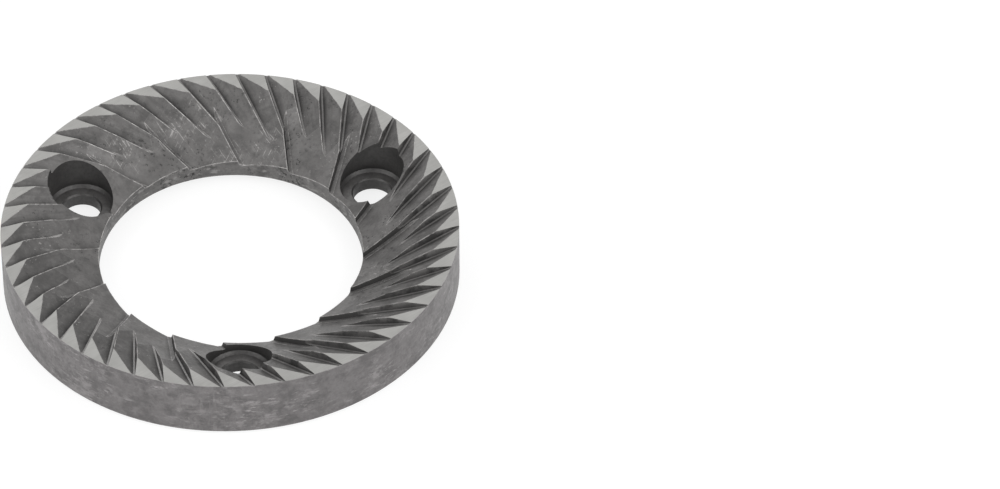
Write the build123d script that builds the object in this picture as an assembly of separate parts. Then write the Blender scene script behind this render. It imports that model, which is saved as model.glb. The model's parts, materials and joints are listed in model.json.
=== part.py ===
from build123d import *
import os
from math import acos, cos, degrees, pi, radians, sin, tan

# Flat grinding burr: a hardened steel ring whose upper face is cut with teeth.
# Millimetres. The origin is the centre of the ground back face, and +Z points to the teeth.
# Angles are in degrees, counted counter-clockwise from +X as seen from the teeth.

# Ring
OUTER_DIAMETER = 64.0
BORE_DIAMETER = 37.0
THICKNESS = 8.85
RIM_CHAMFER = 0.35

# Recess turned in the back, inside the ground seating ring
RECESS_DIAMETER = 54.6
RECESS_DEPTH = 1.05
RECESS_CORNER_RADIUS = 0.6
BORE_CHAMFER = 0.6

# Screw holes, counterbored from the toothed side
SCREW_COUNT = 3
SCREW_PITCH_DIAMETER = 47.5
SCREW_START_ANGLE = 34.35
SCREW_HOLE_DIAMETER = 5.5
SCREW_HOLE_CHAMFER = 0.2
SCREW_SEAT_THICKNESS = 1.9
COUNTERBORE_DIAMETER = 9.1
COUNTERBORE_CORNER = 0.4

# Breaker teeth by the bore: grooves cut with a large double-angle cutter that runs out upwards
COARSE_COUNT = 16
COARSE_START_ANGLE = 20.03
COARSE_LEAN = 31.5
COARSE_PLUNGE = 18.9
COARSE_ROOT_DEPTH = 5.24
COARSE_CUTTER_RADIUS = 50.8
COARSE_STEEP_FLANK = 70.5
COARSE_SHALLOW_FLANK = 22.6
COARSE_NOSE_WIDTH = 0.5
COARSE_BORE_OVERRUN = 7.0

# Grinding teeth at the rim: straight grooves that deepen inwards and leave flat lands
FINE_PER_COARSE = 3
FINE_START_ANGLE = 7.66
FINE_LEAN = 24.9
FINE_PLUNGE = 13.9
FINE_RIM_DEPTH = 0.09
FINE_LENGTH = 12.5
FINE_STEEP_FLANK = 69.5
FINE_SHALLOW_FLANK = 27.5
FINE_NOSE_WIDTH = 0.25
FINE_RIM_OVERRUN = 2.0

# How far a cutting solid passes beyond the surface that it opens
CUT_CLEARANCE = 1.0

OUTER_RADIUS = OUTER_DIAMETER / 2
BORE_RADIUS = BORE_DIAMETER / 2
RECESS_RADIUS = RECESS_DIAMETER / 2
MID_RADIUS = (OUTER_RADIUS + BORE_RADIUS) / 2
FINE_COUNT = COARSE_COUNT * FINE_PER_COARSE


def direction(angle):
    """Horizontal unit vector at an angle."""
    return Vector(cos(radians(angle)), sin(radians(angle)), 0)


def around_axis(solid, count):
    """Copies of a solid, evenly spaced about the ring's axis."""
    return [Rot(0, 0, 360 / count * index) * solid for index in range(count)]


def ring_blank():
    """Turned ring: bore, rim, seating ring, and the recess behind it."""
    with BuildSketch(Plane.XZ) as section:
        with BuildLine():
            start = (BORE_RADIUS, RECESS_DEPTH + BORE_CHAMFER)
            floor_end = (RECESS_RADIUS - RECESS_CORNER_RADIUS, RECESS_DEPTH)
            wall_end = (RECESS_RADIUS, RECESS_DEPTH - RECESS_CORNER_RADIUS)
            Polyline(start, (BORE_RADIUS + BORE_CHAMFER, RECESS_DEPTH), floor_end)
            RadiusArc(floor_end, wall_end, RECESS_CORNER_RADIUS)
            Polyline(
                wall_end,
                (RECESS_RADIUS, 0),
                (OUTER_RADIUS - RIM_CHAMFER, 0),
                (OUTER_RADIUS, RIM_CHAMFER),
                (OUTER_RADIUS, THICKNESS),
                (BORE_RADIUS, THICKNESS),
                start,
            )
        make_face()
    return revolve(section.sketch, Axis.Z)


def tooth_width(count, lean):
    """Width of one tooth of the burr, across its groove, at the middle of the ring."""
    return 2 * pi * MID_RADIUS / count * cos(radians(lean))


def cutter_section(steep_flank, shallow_flank, nose_width, shallow_width, height):
    """Tooth of a double-angle cutter: a flat nose from the origin to -X, and the steep flank on +X."""
    steep_end = (height / tan(radians(steep_flank)), height)
    side = -nose_width - shallow_width
    shoulder = (side, shallow_width * tan(radians(shallow_flank)))
    return make_face(Polyline((0, 0), steep_end, (side, height), shoulder, (-nose_width, 0), close=True))


def groove_plane(origin, heading, plunge):
    """Plane across a groove: X to the steep flank, Y out of the groove, Z up the groove to the rim."""
    up_groove = direction(heading) * cos(radians(plunge)) + Vector(0, 0, sin(radians(plunge)))
    return Plane(origin=origin, x_dir=direction(heading + 90), z_dir=up_groove)


def coarse_cut():
    """Sweep of the large cutter: enters at the bore, and its own radius lifts it out before the rim."""
    root = direction(COARSE_START_ANGLE) * BORE_RADIUS + Vector(0, 0, THICKNESS - COARSE_ROOT_DEPTH)
    heading = COARSE_START_ANGLE + COARSE_LEAN
    at_bore = groove_plane(root, heading, COARSE_PLUNGE)
    centre = root + at_bore.y_dir * COARSE_CUTTER_RADIUS
    height = COARSE_ROOT_DEPTH + CUT_CLEARANCE
    width = tooth_width(COARSE_COUNT, COARSE_LEAN)
    section = cutter_section(COARSE_STEEP_FLANK, COARSE_SHALLOW_FLANK, COARSE_NOSE_WIDTH, width, height)
    entry = COARSE_PLUNGE - COARSE_BORE_OVERRUN / (radians(1) * COARSE_CUTTER_RADIUS)
    entry_direction = groove_plane(root, heading, entry).y_dir
    entry_plane = groove_plane(centre - entry_direction * COARSE_CUTTER_RADIUS, heading, entry)
    # The cut ends where the cutter's edge has risen by the whole height of its tooth
    run_out = degrees(acos(cos(radians(COARSE_PLUNGE)) - height / COARSE_CUTTER_RADIUS))
    return revolve(
        entry_plane * section, Axis(centre, at_bore.x_dir * -1), revolution_arc=run_out - entry
    )


def fine_cut():
    """Straight groove from the rim inwards, with its root falling towards the bore."""
    rim_root = direction(FINE_START_ANGLE) * OUTER_RADIUS + Vector(0, 0, THICKNESS - FINE_RIM_DEPTH)
    across = groove_plane(rim_root, FINE_START_ANGLE + FINE_LEAN, FINE_PLUNGE)
    height = FINE_LENGTH * tan(radians(FINE_PLUNGE)) + FINE_RIM_DEPTH + CUT_CLEARANCE
    width = tooth_width(FINE_COUNT, FINE_LEAN)
    section = cutter_section(FINE_STEEP_FLANK, FINE_SHALLOW_FLANK, FINE_NOSE_WIDTH, width, height)
    inner_end = across.offset(-FINE_LENGTH)
    return extrude(inner_end * section, FINE_LENGTH + FINE_RIM_OVERRUN, dir=across.z_dir)


def screw_cut():
    """Clearance hole and flat counterbore for a cheese-head screw."""
    seat = RECESS_DEPTH + SCREW_SEAT_THICKNESS
    top = THICKNESS + CUT_CLEARANCE
    hole_radius = SCREW_HOLE_DIAMETER / 2
    radius = COUNTERBORE_DIAMETER / 2
    with BuildSketch(Plane.XZ) as section:
        with BuildLine():
            Polyline(
                (0, 0),
                (hole_radius, 0),
                (hole_radius, seat - SCREW_HOLE_CHAMFER),
                (hole_radius + SCREW_HOLE_CHAMFER, seat),
                (radius - COUNTERBORE_CORNER, seat),
                (radius, seat + COUNTERBORE_CORNER),
                (radius, top),
                (0, top),
                close=True,
            )
        make_face()
    place = direction(SCREW_START_ANGLE) * (SCREW_PITCH_DIAMETER / 2)
    return Pos(place) * revolve(section.sketch, Axis.Z)


burr = ring_blank()
burr -= around_axis(coarse_cut(), COARSE_COUNT)
burr -= around_axis(fine_cut(), FINE_COUNT)
burr -= around_axis(screw_cut(), SCREW_COUNT)

os.makedirs("parts", exist_ok=True)
export_step(burr, "parts/burr.step")
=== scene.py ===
import json
from math import cos, radians, sin

import bpy
from mathutils import Matrix, Vector


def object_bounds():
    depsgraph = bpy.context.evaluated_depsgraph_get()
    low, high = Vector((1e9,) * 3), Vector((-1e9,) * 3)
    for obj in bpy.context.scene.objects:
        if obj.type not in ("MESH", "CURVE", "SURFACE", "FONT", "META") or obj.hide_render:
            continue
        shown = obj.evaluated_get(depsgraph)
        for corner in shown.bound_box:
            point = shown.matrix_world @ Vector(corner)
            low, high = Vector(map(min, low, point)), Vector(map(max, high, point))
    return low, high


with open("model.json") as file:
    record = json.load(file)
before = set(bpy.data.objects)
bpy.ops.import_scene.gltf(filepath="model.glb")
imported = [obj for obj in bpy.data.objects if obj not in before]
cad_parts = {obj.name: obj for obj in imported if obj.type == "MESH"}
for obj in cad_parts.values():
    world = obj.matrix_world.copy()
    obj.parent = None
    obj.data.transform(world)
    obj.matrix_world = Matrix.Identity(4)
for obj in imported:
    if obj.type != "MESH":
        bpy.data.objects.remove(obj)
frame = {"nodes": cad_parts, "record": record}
cad_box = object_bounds()

# Sizes in metres, angles in degrees, places in the frame of the part
MILLIMETRES = 1000.0
FULL_TURN = 360.0
BURR = frame["nodes"]["burr"]
MOUNTS = {mount["name"]: mount["dims"] for mount in frame["record"]["mounts"]}
BACK, TOP = cad_box[0].z, cad_box[1].z
RIM_RADIUS = cad_box[1].x
SCREW_COUNT = MOUNTS["screws"]["count"]
SCREW_PITCH_RADIUS = MOUNTS["screws"]["pcd_mm"] / 2 / MILLIMETRES
SCREW_START_ANGLE = 34.35
SCREW_ANGLES = [SCREW_START_ANGLE + FULL_TURN / SCREW_COUNT * index for index in range(SCREW_COUNT)]
SCREW_AXES = [
    Vector((cos(radians(angle)), sin(radians(angle)))) * SCREW_PITCH_RADIUS for angle in SCREW_ANGLES
]
COUNTERBORE_RADIUS = 0.00455
RECESS_DEPTH = 0.00105

# Grinding grooves, as the cutter leaves them
GROOVE_COUNT = 48
GROOVE_START_ANGLE = 7.66
GROOVE_LEAN = 24.9
GROOVE_PLUNGE = 13.9
GROOVE_STEEP_FLANK = 69.5
GROOVE_SHALLOW_FLANK = 27.5

# Sorting of faces: how close counts as the same height or radius
NEAR = 0.0001
# Height of a unit normal above which a face is level, below which it is steep, or upright
LEVEL = 0.995
STEEP_LEVEL = 0.6
UPRIGHT = 0.1
# Cosine between two normals above which they count as the same
SAME_WAY = 0.9999

# Corners and edges: how far they are felt for, in metres, and with how many rays
CREASE_REACH = 0.0016
EDGE_REACH = 0.0002
FEELERS = 8
# Cosine of the turn at which an edge begins to show and is whole
EDGE_TURN = (0.9988, 0.986)
# Share of the open sky hidden by a corner at which an edge begins to fade and is gone
EDGE_FADE = (0.1, 0.3)
# Depth of the relief, in metres
GRAIN_DEPTH = 0.00003
GRINDING_DEPTH = 0.00001

# From here to the camera, lengths are in millimetres
# Distance from a screw's axis at which the pale edges, wear with painted highlight, begin and are whole
SCREW_MOUTH = (4.7, 5.3)
# Distance from the ring's axis at which every grinding groove passes it
GROOVE_OFFSET = RIM_RADIUS * sin(radians(GROOVE_LEAN)) * MILLIMETRES
# How finely the cutter's marks follow each other across the grooves and along them
MARKS_ACROSS = 45.0
MARKS_ALONG = 0.16
# Lines on the ground faces: angle, length and gap
GRINDING = (38.0, 4.0, 1 / 9)
# Scratches: angle, length, gap and share
SCRATCHES = ((128.0, 3.2, 0.18, 0.38), (62.0, 2.4, 0.18, 0.35))
SCRATCH_FADE = 0.1
# Rubbed places on the teeth: x, y and reach
RUBS = (
    (-5.0, 25.0, 4.0),
    (-1.0, 19.5, 3.2),
    (-8.5, 22.0, 4.0),
    (-15.5, 18.0, 3.6),
    (4.5, 20.5, 3.4),
    (20.5, -6.0, 3.4),
)
# Stretch of the grinding grooves darkened with painted shade, and of the rim with runs down it: x, y and
# reach
SHADED_SIDE = (-21.0, -14.0, 21.0)
RUNS = (-3.0, -32.0, 7.0)
# Share of the reach of such a place over which it is whole
SPOT_CORE = 0.4
# Rings that the turning tool left in the back: radius and width
TOOL_RINGS = ((26.3, 0.16), (25.4, 0.1))

# Tone of the skin's grain beside the skin, and how far its roughness goes below and above the mean
GRAIN_SHADE = 0.72
SMOOTHER, ROUGHER = 0.06, 0.08
# Haze under the scratches: its share, and its tone beside theirs
HAZE_SHARE = 0.22
HAZE_SHADE = 0.75
# Range of the noise over which a speck appears
SPECK_FADE = 0.07

# How much more red and blue than green a grey has
SKIN_TINT = (0.03, -0.02)
RIM_TINT = (0.05, 0.0)
GROUND_TINT = (0.01, -0.035)
NO_TINT = (0.0, 0.0)
WHITE = (1.0, 1.0, 1.0, 1.0)

# Camera
IMAGE_WIDTH, IMAGE_HEIGHT = 1000, 489
SENSOR_WIDTH = 36.0
LENS = 248.88
VIEW_ELEVATION = 43.136
VIEW_ROLL = -0.16
VIEW_DISTANCE = 0.9705
RING_CENTRE_PIXEL = (231.7, 272.7)

# Light
DOME_LEVEL = 0.5
SOFTBOX_SIZE = 0.9
SOFTBOX_DISTANCE = 1.2
# Lamps: name, azimuth, elevation and watts
LAMPS = (
    ("left_lamp", 216.0, 35.0, 5.5),
    ("right_lamp", 324.0, 35.0, 7.0),
    ("back_lamp", 95.0, 32.0, 3.8),
)

# Floor: the grey that lights the part, the grey that shows its shadow, and the white added where seen
FLOOR_SIZE = 6.0
FLOOR_LEVEL = 0.85
FLOOR_SHADE = 0.22
FLOOR_LIFT = 0.82


def grey(level, tint):
    """Linear colour of a grey whose red and blue differ a little from its green."""
    red, blue = tint
    return (level * (1 + red), level, level * (1 + blue), 1.0)


class Shader:
    """Short calls that build the nodes of one material."""

    def __init__(self, name):
        self.material = bpy.data.materials.new(name)
        self.material.use_nodes = True
        self.tree = self.material.node_tree
        self.surface = self.tree.nodes["Principled BSDF"]
        self.place = self.stretched(self.node("TexCoord").outputs["Object"], MILLIMETRES, MILLIMETRES)
        self.x, self.y = self.node("SeparateXYZ", {0: self.place}).outputs[:2]
        self.plan = self.vector(self.x, self.y)
        self.radius = self.vector_math("LENGTH", self.plan)

    def node(self, kind, values=None, **settings):
        """New node, with its settings made and its inputs fed."""
        made = self.tree.nodes.new("ShaderNode" + kind)
        for name, setting in settings.items():
            setattr(made, name, setting)
        for socket, value in (values or {}).items():
            self.feed(made.inputs[socket], value)
        return made

    def feed(self, socket, value):
        """Links an input to another node's output, or sets it to a plain value."""
        if isinstance(value, bpy.types.NodeSocket):
            self.tree.links.new(value, socket)
        else:
            socket.default_value = value

    def finish(self, **values):
        """The material, with its surface's inputs fed by name."""
        for name, value in values.items():
            self.feed(self.surface.inputs[name.replace("_", " ").title()], value)
        return self.material

    def math(self, operation, a, b=0.0):
        return self.node("Math", {0: a, 1: b}, operation=operation).outputs[0]

    def times(self, a, b):
        return self.math("MULTIPLY", a, b)

    def most(self, *values):
        """Largest of some values."""
        largest = values[0]
        for value in values[1:]:
            largest = self.math("MAXIMUM", largest, value)
        return largest

    def vector(self, x, y, z=0.0):
        return self.node("CombineXYZ", {0: x, 1: y, 2: z}).outputs[0]

    def vector_math(self, operation, a, b=(0.0, 0.0, 0.0), output="Value"):
        return self.node("VectorMath", {0: a, 1: b}, operation=operation).outputs[output]

    def stretched(self, place, across, up):
        """A place scaled by one factor across the axis and by another along it."""
        return self.vector_math("MULTIPLY", place, (across, across, up), output="Vector")

    def noise(self, place, scale=1.0, detail=3.0, roughness=0.55):
        values = {"Vector": place, "Scale": scale, "Detail": detail, "Roughness": roughness}
        return self.node("TexNoise", values).outputs["Fac"]

    def remap(self, value, low, high, to_low=0.0, to_high=1.0):
        """Straight-line change of a value's range, held at its ends."""
        return self.node("MapRange", {0: value, 1: low, 2: high, 3: to_low, 4: to_high}).outputs[0]

    def mix(self, share, a, b):
        """Mix of two colours, which are inputs 6 and 7 and output 2 of the node."""
        return self.node("Mix", {0: share, 6: a, 7: b}, data_type="RGBA").outputs[2]

    def apart(self, x, y):
        """Distance from a point of the plan."""
        return self.vector_math("DISTANCE", self.plan, (x, y, 0.0))

    def spot(self, x, y, reach):
        """One about a point of the plan, falling to nought at its reach."""
        return self.remap(self.apart(x, y), SPOT_CORE * reach, reach, 1.0, 0.0)

    def crease(self):
        """Nought on open surface, rising towards one in a corner of the shape."""
        seen = self.node("AmbientOcclusion", {"Distance": CREASE_REACH}, samples=FEELERS, only_local=True)
        return self.math("SUBTRACT", 1.0, seen.outputs["AO"])

    def edge(self, crease):
        """Nought on open surface and in corners, rising to one along an outer edge."""
        rounded = self.node("Bevel", {"Radius": EDGE_REACH}, samples=FEELERS).outputs[0]
        turn = self.vector_math("DOT_PRODUCT", rounded, self.node("NewGeometry").outputs["Normal"])
        return self.times(self.remap(turn, *EDGE_TURN), self.remap(crease, *EDGE_FADE, 1.0, 0.0))

    def streaks(self, angle, length, gap, seed=0.0, detail=3.0):
        """Noise drawn out along one direction of the plan."""
        c, s = cos(radians(angle)), sin(radians(angle))
        along = self.math("ADD", self.times(self.x, c / length), self.times(self.y, s / length))
        across = self.math("SUBTRACT", self.times(self.y, c / gap), self.times(self.x, s / gap))
        return self.noise(self.vector(along, across, seed), detail=detail)

    def scratches(self, angle, length, gap, share):
        """Straight fine scratches; share is how much of the noise's range shows."""
        field = self.streaks(angle, length, gap, seed=angle, detail=0.0)
        return self.remap(field, 1.0 - share, 1.0 - share + SCRATCH_FADE)

    def bump(self, height, distance, strength):
        values = {"Strength": strength, "Distance": distance, "Height": height}
        return self.node("Bump", values).outputs[0]


class Scale(Shader):
    """Dark skin left by hardening: mottled and grainy, with marks and wear laid over it, painted shade in
    its corners and over one stretch, and painted highlight along its edges.
    """

    def __init__(self, name, dark, pale, around=1.0, tint=SKIN_TINT):
        super().__init__(name)
        self.tint = tint
        wide = self.stretched(self.place, around, 1.0)
        patches = self.noise(wide, scale=0.24, detail=5.0, roughness=0.65)
        self.grain = self.noise(self.place, scale=2.6, roughness=0.6)
        mottle = self.remap(patches, low=0.36, high=0.64)
        self.tone = self.mix(mottle, grey(dark, tint), grey(pale, tint))
        self.lay(self.remap(self.grain, low=0.45, high=0.7, to_high=0.35), dark * GRAIN_SHADE)
        self.creases = self.crease()

    def lay(self, share, level):
        """Covers a share of the surface with a tone."""
        self.tone = self.mix(share, self.tone, grey(level, self.tint))

    def add_specks(self, level, low=0.6):
        """Small dark pits, in loose groups."""
        where = self.remap(self.noise(self.place, scale=0.14, detail=2.0), low=0.46, high=0.6)
        specks = self.noise(self.place, scale=1.7, detail=2.0, roughness=0.7)
        self.lay(self.times(self.remap(specks, low, low + SPECK_FADE), where), level)

    def add_nicks(self, level):
        """Small pale chips, in loose groups."""
        where = self.remap(self.noise(self.place, scale=0.22, detail=2.0), low=0.5, high=0.6)
        nicks = self.noise(self.place, scale=2.1, detail=2.0, roughness=0.7)
        self.lay(self.times(self.remap(nicks, low=0.64, high=0.7), where), level)

    def add_corner_shade(self, level, most):
        """Painted shade: darker in the corners of the shape, where they hide the open sky."""
        self.lay(self.remap(self.creases, low=0.09, high=0.5, to_high=most), level)

    def add_cutter_marks(self, level, most):
        """Lines along the grinding grooves, which all pass the axis at the same distance."""
        azimuth = self.math("ARCTAN2", self.y, self.x)
        swing = self.math("ARCSINE", self.math("DIVIDE", GROOVE_OFFSET, self.radius))
        lane = self.math("ADD", azimuth, swing)
        across = [self.times(self.math(turn, lane), MARKS_ACROSS) for turn in ("COSINE", "SINE")]
        marks = self.noise(self.vector(*across, self.times(self.radius, MARKS_ALONG)))
        self.lay(self.remap(marks, low=0.46, high=0.68, to_high=most), level)

    def add_stains(self, level, most):
        """Dark blotches with soft borders."""
        stains = self.noise(self.place, scale=0.42, detail=6.0, roughness=0.66)
        self.lay(self.remap(stains, low=0.47, high=0.6, to_high=most), level)

    def add_side_shade(self, level, most):
        """Painted shade, blotched, over one stretch of the grooves."""
        blotches = self.noise(self.place, scale=0.36, detail=5.0, roughness=0.65)
        patchy_shade = self.remap(blotches, low=0.4, high=0.6, to_low=0.2, to_high=most)
        self.lay(self.times(patchy_shade, self.spot(*SHADED_SIDE)), level)

    def add_smudges(self, level, most):
        """Pale wiped patches."""
        smudges = self.noise(self.place, scale=0.31, detail=6.0, roughness=0.7)
        self.lay(self.remap(smudges, low=0.53, high=0.66, to_high=most), level)

    def add_rubs(self, level):
        """Pale broken scratches in a few places, with a rubbed haze under them."""
        where = self.most(*(self.spot(*rub) for rub in RUBS))
        breaks = self.noise(self.place, scale=0.75, detail=5.0, roughness=0.7)
        broken = self.remap(breaks, low=0.47, high=0.6)
        lines = self.most(*(self.scratches(*scratch) for scratch in SCRATCHES))
        self.lay(self.times(self.times(broken, where), HAZE_SHARE), level * HAZE_SHADE)
        self.lay(self.times(self.times(lines, broken), where), level)

    def off_screws(self):
        """Nought at the mouths of the screw holes, and one away from them."""
        inside = 0.0
        for axis in SCREW_AXES:
            apart = self.apart(axis.x * MILLIMETRES, axis.y * MILLIMETRES)
            inside = self.most(inside, self.remap(apart, *SCREW_MOUTH, 1.0, 0.0))
        return self.math("SUBTRACT", 1.0, inside)

    def add_edge_wear_and_highlight(self, level, most):
        """Pale uneven wear along the outer edges, apart from the screw holes', with painted highlight
        where rounded edges would catch the light.
        """
        wear = self.noise(self.place, scale=0.8, detail=5.0, roughness=0.75)
        uneven = self.remap(wear, low=0.42, high=0.6, to_low=0.12)
        wear_and_highlight = self.times(self.times(self.edge(self.creases), uneven), self.off_screws())
        self.lay(self.times(wear_and_highlight, most), level)

    def steel(self, roughness):
        """The material, rougher and smoother with its grain."""
        return self.finish(
            base_color=self.tone,
            metallic=0.5,
            roughness=self.remap(self.grain, 0.3, 0.7, roughness - SMOOTHER, roughness + ROUGHER),
            normal=self.bump(self.grain, distance=GRAIN_DEPTH, strength=0.25),
        )


def breaker_flank():
    """Wide hollow backs of the breaker teeth."""
    s = Scale("breaker_flank", dark=0.15, pale=0.196)
    s.add_stains(level=0.09, most=0.5)
    s.add_smudges(level=0.25, most=0.4)
    s.add_specks(level=0.065)
    s.add_nicks(level=0.34)
    s.add_rubs(level=0.42)
    # Painted shade in the corners
    s.add_corner_shade(level=0.04, most=0.7)
    # Pale edges: wear and painted highlight
    s.add_edge_wear_and_highlight(level=0.62, most=1.0)
    return s.steel(roughness=0.46)


def breaker_front():
    """Steep fronts of the breaker teeth: dark skin, made darker still as painted shade."""
    s = Scale("breaker_front", dark=0.062, pale=0.08)
    # Painted shade in the corners
    s.add_corner_shade(level=0.03, most=0.6)
    # Pale edges: wear and painted highlight
    s.add_edge_wear_and_highlight(level=0.34, most=0.9)
    return s.steel(roughness=0.5)


def groove_flank():
    """Sloping side of the grinding grooves."""
    s = Scale("groove_flank", dark=0.155, pale=0.2)
    s.add_stains(level=0.08, most=0.55)
    # Painted shade over one stretch of the grooves
    s.add_side_shade(level=0.085, most=0.65)
    s.add_smudges(level=0.25, most=0.4)
    s.add_cutter_marks(level=0.1, most=0.5)
    s.add_specks(level=0.07)
    s.add_nicks(level=0.34)
    s.add_rubs(level=0.42)
    # Painted shade in the corners
    s.add_corner_shade(level=0.03, most=0.9)
    # Pale edges: wear and painted highlight
    s.add_edge_wear_and_highlight(level=0.62, most=1.0)
    return s.steel(roughness=0.46)


def groove_front():
    """Steep side of the grinding grooves, which does the cutting."""
    s = Scale("groove_front", dark=0.185, pale=0.25)
    s.add_stains(level=0.045, most=0.85)
    s.add_cutter_marks(level=0.06, most=0.6)
    # Painted shade in the corners
    s.add_corner_shade(level=0.025, most=0.75)
    # Pale edges: wear and painted highlight
    s.add_edge_wear_and_highlight(level=0.62, most=1.0)
    return s.steel(roughness=0.48)


def groove_root():
    """Narrow floor of the grinding grooves, rubbed clean."""
    s = Scale("groove_root", dark=0.16, pale=0.25)
    return s.steel(roughness=0.42)


def counterbore():
    """Wall of the counterbores and screw holes: dark skin, made darker still as painted shade."""
    s = Scale("counterbore", dark=0.062, pale=0.086)
    # Painted shade in the corners
    s.add_corner_shade(level=0.03, most=0.5)
    # Pale edges: wear and painted highlight
    s.add_edge_wear_and_highlight(level=0.3, most=0.8)
    return s.steel(roughness=0.5)


def counterbore_floor():
    """Seat for the screw head."""
    s = Scale("counterbore_floor", dark=0.14, pale=0.185)
    s.add_stains(level=0.08, most=0.5)
    # Painted shade in the corners
    s.add_corner_shade(level=0.035, most=0.5)
    return s.steel(roughness=0.5)


def counterbore_corner():
    """Slopes at the foot of the counterbore and round the screw hole, darkened as painted shade."""
    s = Scale("counterbore_corner", dark=0.07, pale=0.09)
    return s.steel(roughness=0.46)


def bore():
    """Inner wall of the ring, stained and pitted, with pale scuffs."""
    s = Scale("bore", dark=0.12, pale=0.175)
    s.add_stains(level=0.075, most=0.75)
    s.add_specks(level=0.035, low=0.55)
    scuffs = s.noise(s.stretched(s.place, across=0.9, up=1.6), detail=4.0)
    s.lay(s.remap(scuffs, low=0.56, high=0.66, to_high=0.8), level=0.26)
    # Pale edges: wear and painted highlight
    s.add_edge_wear_and_highlight(level=0.36, most=0.9)
    return s.steel(roughness=0.48)


def back():
    """Turned recess in the back, with pale rings left by the tool."""
    s = Scale("back", dark=0.105, pale=0.15)
    s.add_stains(level=0.075, most=0.5)
    s.add_smudges(level=0.21, most=0.6)
    s.add_specks(level=0.05)
    uneven = s.remap(s.noise(s.place, scale=0.35), low=0.4, high=0.6, to_low=0.2)
    for radius, width in TOOL_RINGS:
        off_ring = s.math("ABSOLUTE", s.math("SUBTRACT", s.radius, radius))
        s.lay(s.times(s.remap(off_ring, 0.0, width, 0.8, 0.0), uneven), level=0.32)
    # Pale edges: wear and painted highlight
    s.add_edge_wear_and_highlight(level=0.36, most=0.9)
    return s.steel(roughness=0.48)


def rim():
    """Outer wall: blotched, with short scuffs round the ring and a few runs down it."""
    s = Scale("rim", dark=0.15, pale=0.205, around=0.6, tint=RIM_TINT)
    s.add_stains(level=0.105, most=0.7)
    stretches = s.noise(s.stretched(s.place, across=0.12, up=0.2), detail=2.0)
    broad = s.remap(stretches, low=0.42, high=0.6, to_low=0.2)
    smears = s.noise(s.stretched(s.place, across=0.34, up=0.62), detail=7.0, roughness=0.76)
    s.lay(s.times(s.remap(smears, low=0.51, high=0.61, to_high=0.85), broad), level=0.27)
    scuffs = s.noise(s.stretched(s.place, across=0.5, up=2.2), detail=6.0, roughness=0.72)
    s.lay(s.times(s.remap(scuffs, low=0.56, high=0.66, to_high=0.9), broad), level=0.36)
    runs = s.noise(s.stretched(s.place, across=1.1, up=0.14), detail=4.0, roughness=0.7)
    s.lay(s.times(s.remap(runs, low=0.55, high=0.66, to_high=0.45), s.spot(*RUNS)), level=0.27)
    # Pale edges: wear and painted highlight
    s.add_edge_wear_and_highlight(level=0.4, most=0.6)
    return s.steel(roughness=0.46)


def ground():
    """Faces finished on a grinder: pale, with fine straight lines."""
    s = Shader("ground")
    dark, pale, line = (grey(level, GROUND_TINT) for level in (0.335, 0.38, 0.285))
    lines = s.streaks(*GRINDING)
    clouds = s.noise(s.place, scale=0.3, detail=2.0)
    tone = s.mix(s.remap(clouds, low=0.35, high=0.65), dark, pale)
    return s.finish(
        base_color=s.mix(s.remap(lines, low=0.4, high=0.7, to_high=0.4), tone, line),
        metallic=0.6,
        roughness=s.remap(lines, low=0.3, high=0.7, to_low=0.46, to_high=0.56),
        normal=s.bump(lines, distance=GRINDING_DEPTH, strength=0.2),
    )


FINISHES = (
    breaker_flank, breaker_front, groove_flank, groove_front, groove_root,
    counterbore, counterbore_floor, counterbore_corner, bore, back, rim, ground,
)


def groove_normals():
    """Normals of the grinding grooves' surfaces, each with its finish."""
    rises = {groove_root: 0.0, groove_flank: GROOVE_SHALLOW_FLANK, groove_front: -GROOVE_STEEP_FLANK}
    plunge = radians(GROOVE_PLUNGE)
    normals = []
    for finish, rise in rises.items():
        tilt = radians(rise)
        normal = Vector((-cos(tilt) * sin(plunge), sin(tilt), cos(tilt) * cos(plunge)))
        for index in range(GROOVE_COUNT):
            heading = GROOVE_START_ANGLE + GROOVE_LEAN + FULL_TURN / GROOVE_COUNT * index
            normals.append((Matrix.Rotation(radians(heading), 3, "Z") @ normal, finish))
    return normals


def in_counterbore(place):
    """Whether a place lies within the outline of a counterbore, as seen from the teeth."""
    return any((place.xy - axis).length < COUNTERBORE_RADIUS + NEAR for axis in SCREW_AXES)


def finish_of(face, grooves):
    """Finish of a face, found from its place and from the way it faces."""
    level, height, radius = face.normal.z, face.center.z, face.center.xy.length
    if level < -UPRIGHT:
        return ground if height < BACK + NEAR else back
    if in_counterbore(face.center):
        if level < UPRIGHT:
            return counterbore
        return counterbore_corner if level < LEVEL else counterbore_floor
    if level < UPRIGHT:
        if radius > RIM_RADIUS - 2 * NEAR:
            return rim
        return back if height < BACK + RECESS_DEPTH else bore
    if level > LEVEL and height > TOP - NEAR:
        return ground
    for normal, finish in grooves:
        if face.normal.dot(normal) > SAME_WAY:
            return finish
    return breaker_front if level < STEEP_LEVEL else breaker_flank


def paint_faces():
    """Gives each face of the burr its finish."""
    BURR.data.materials.clear()
    for finish in FINISHES:
        BURR.data.materials.append(finish())
    grooves = groove_normals()
    for face in BURR.data.polygons:
        face.material_index = FINISHES.index(finish_of(face, grooves))


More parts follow.
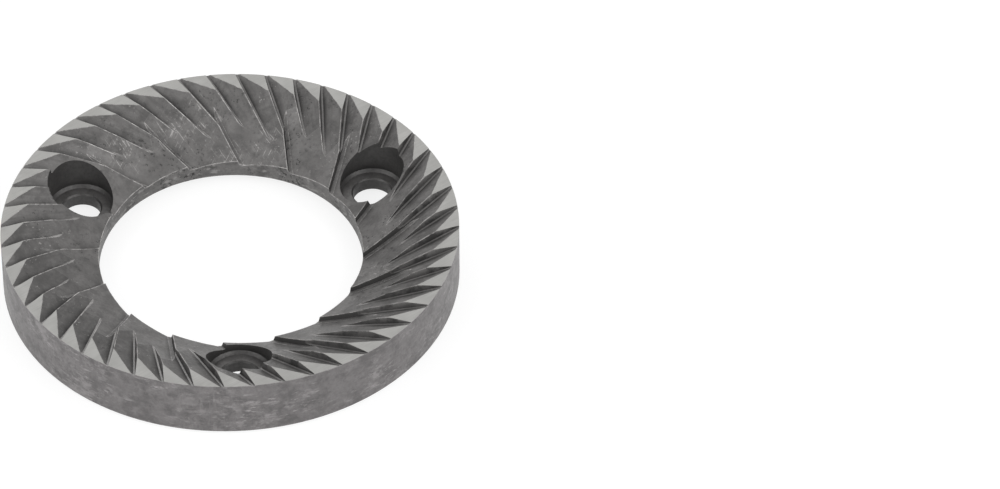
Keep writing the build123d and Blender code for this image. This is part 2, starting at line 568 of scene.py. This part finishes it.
def white_floor():
    """Pale plane under the part: white where it is seen, and shadowed by the part."""
    half = FLOOR_SIZE / 2
    corners = [(-half, -half, BACK), (half, -half, BACK), (half, half, BACK), (-half, half, BACK)]
    mesh = bpy.data.meshes.new("floor")
    mesh.from_pydata(corners, [], [(0, 1, 2, 3)])
    floor = bpy.data.objects.new("floor", mesh)
    bpy.context.scene.collection.objects.link(floor)
    s = Shader("floor")
    paths = s.node("LightPath").outputs
    seen = s.most(*(paths[f"Is {kind} Ray"] for kind in ("Camera", "Glossy", "Transmission")))
    mesh.materials.append(s.finish(
        base_color=s.mix(seen, grey(FLOOR_LEVEL, NO_TINT), grey(FLOOR_SHADE, NO_TINT)),
        roughness=0.9,
        emission_color=WHITE,
        emission_strength=s.times(seen, FLOOR_LIFT),
    ))


def light_dome():
    """Even white surround."""
    world = bpy.data.worlds.new("studio")
    bpy.context.scene.world = world
    world.use_nodes = True
    surround = world.node_tree.nodes["Background"].inputs
    surround["Color"].default_value = WHITE
    surround["Strength"].default_value = DOME_LEVEL


def softbox(name, azimuth, elevation, watts):
    """Square lamp that looks at the middle of the part's back."""
    lamp = bpy.data.lights.new(name, "AREA")
    lamp.size = SOFTBOX_SIZE
    lamp.energy = watts
    holder = bpy.data.objects.new(name, lamp)
    a, e = radians(azimuth), radians(elevation)
    outwards = Vector((cos(a) * cos(e), sin(a) * cos(e), sin(e)))
    holder.location = outwards * SOFTBOX_DISTANCE
    holder.rotation_euler = outwards.to_track_quat("Z", "Y").to_euler()
    bpy.context.scene.collection.objects.link(holder)


def photo_camera():
    """Long lens, placed so that the middle of the part's back falls on its own pixel of the image."""
    lens = bpy.data.cameras.new("camera")
    lens.sensor_width = SENSOR_WIDTH
    lens.lens = LENS
    lens.clip_end = FLOOR_SIZE
    camera = bpy.data.objects.new("camera", lens)
    tilt = Matrix.Rotation(radians(90.0 - VIEW_ELEVATION), 3, "X")
    turned = tilt @ Matrix.Rotation(radians(VIEW_ROLL), 3, "Z")
    pixel = SENSOR_WIDTH / LENS / IMAGE_WIDTH * VIEW_DISTANCE
    right = (RING_CENTRE_PIXEL[0] - IMAGE_WIDTH / 2) * pixel
    up = (IMAGE_HEIGHT / 2 - RING_CENTRE_PIXEL[1]) * pixel
    place = turned @ Vector((-right, -up, VIEW_DISTANCE))
    camera.matrix_world = Matrix.Translation(place) @ turned.to_4x4()
    bpy.context.scene.collection.objects.link(camera)
    bpy.context.scene.camera = camera


paint_faces()
white_floor()
light_dome()
for settings in LAMPS:
    softbox(*settings)
photo_camera()
bpy.context.scene.view_settings.view_transform = "Standard"
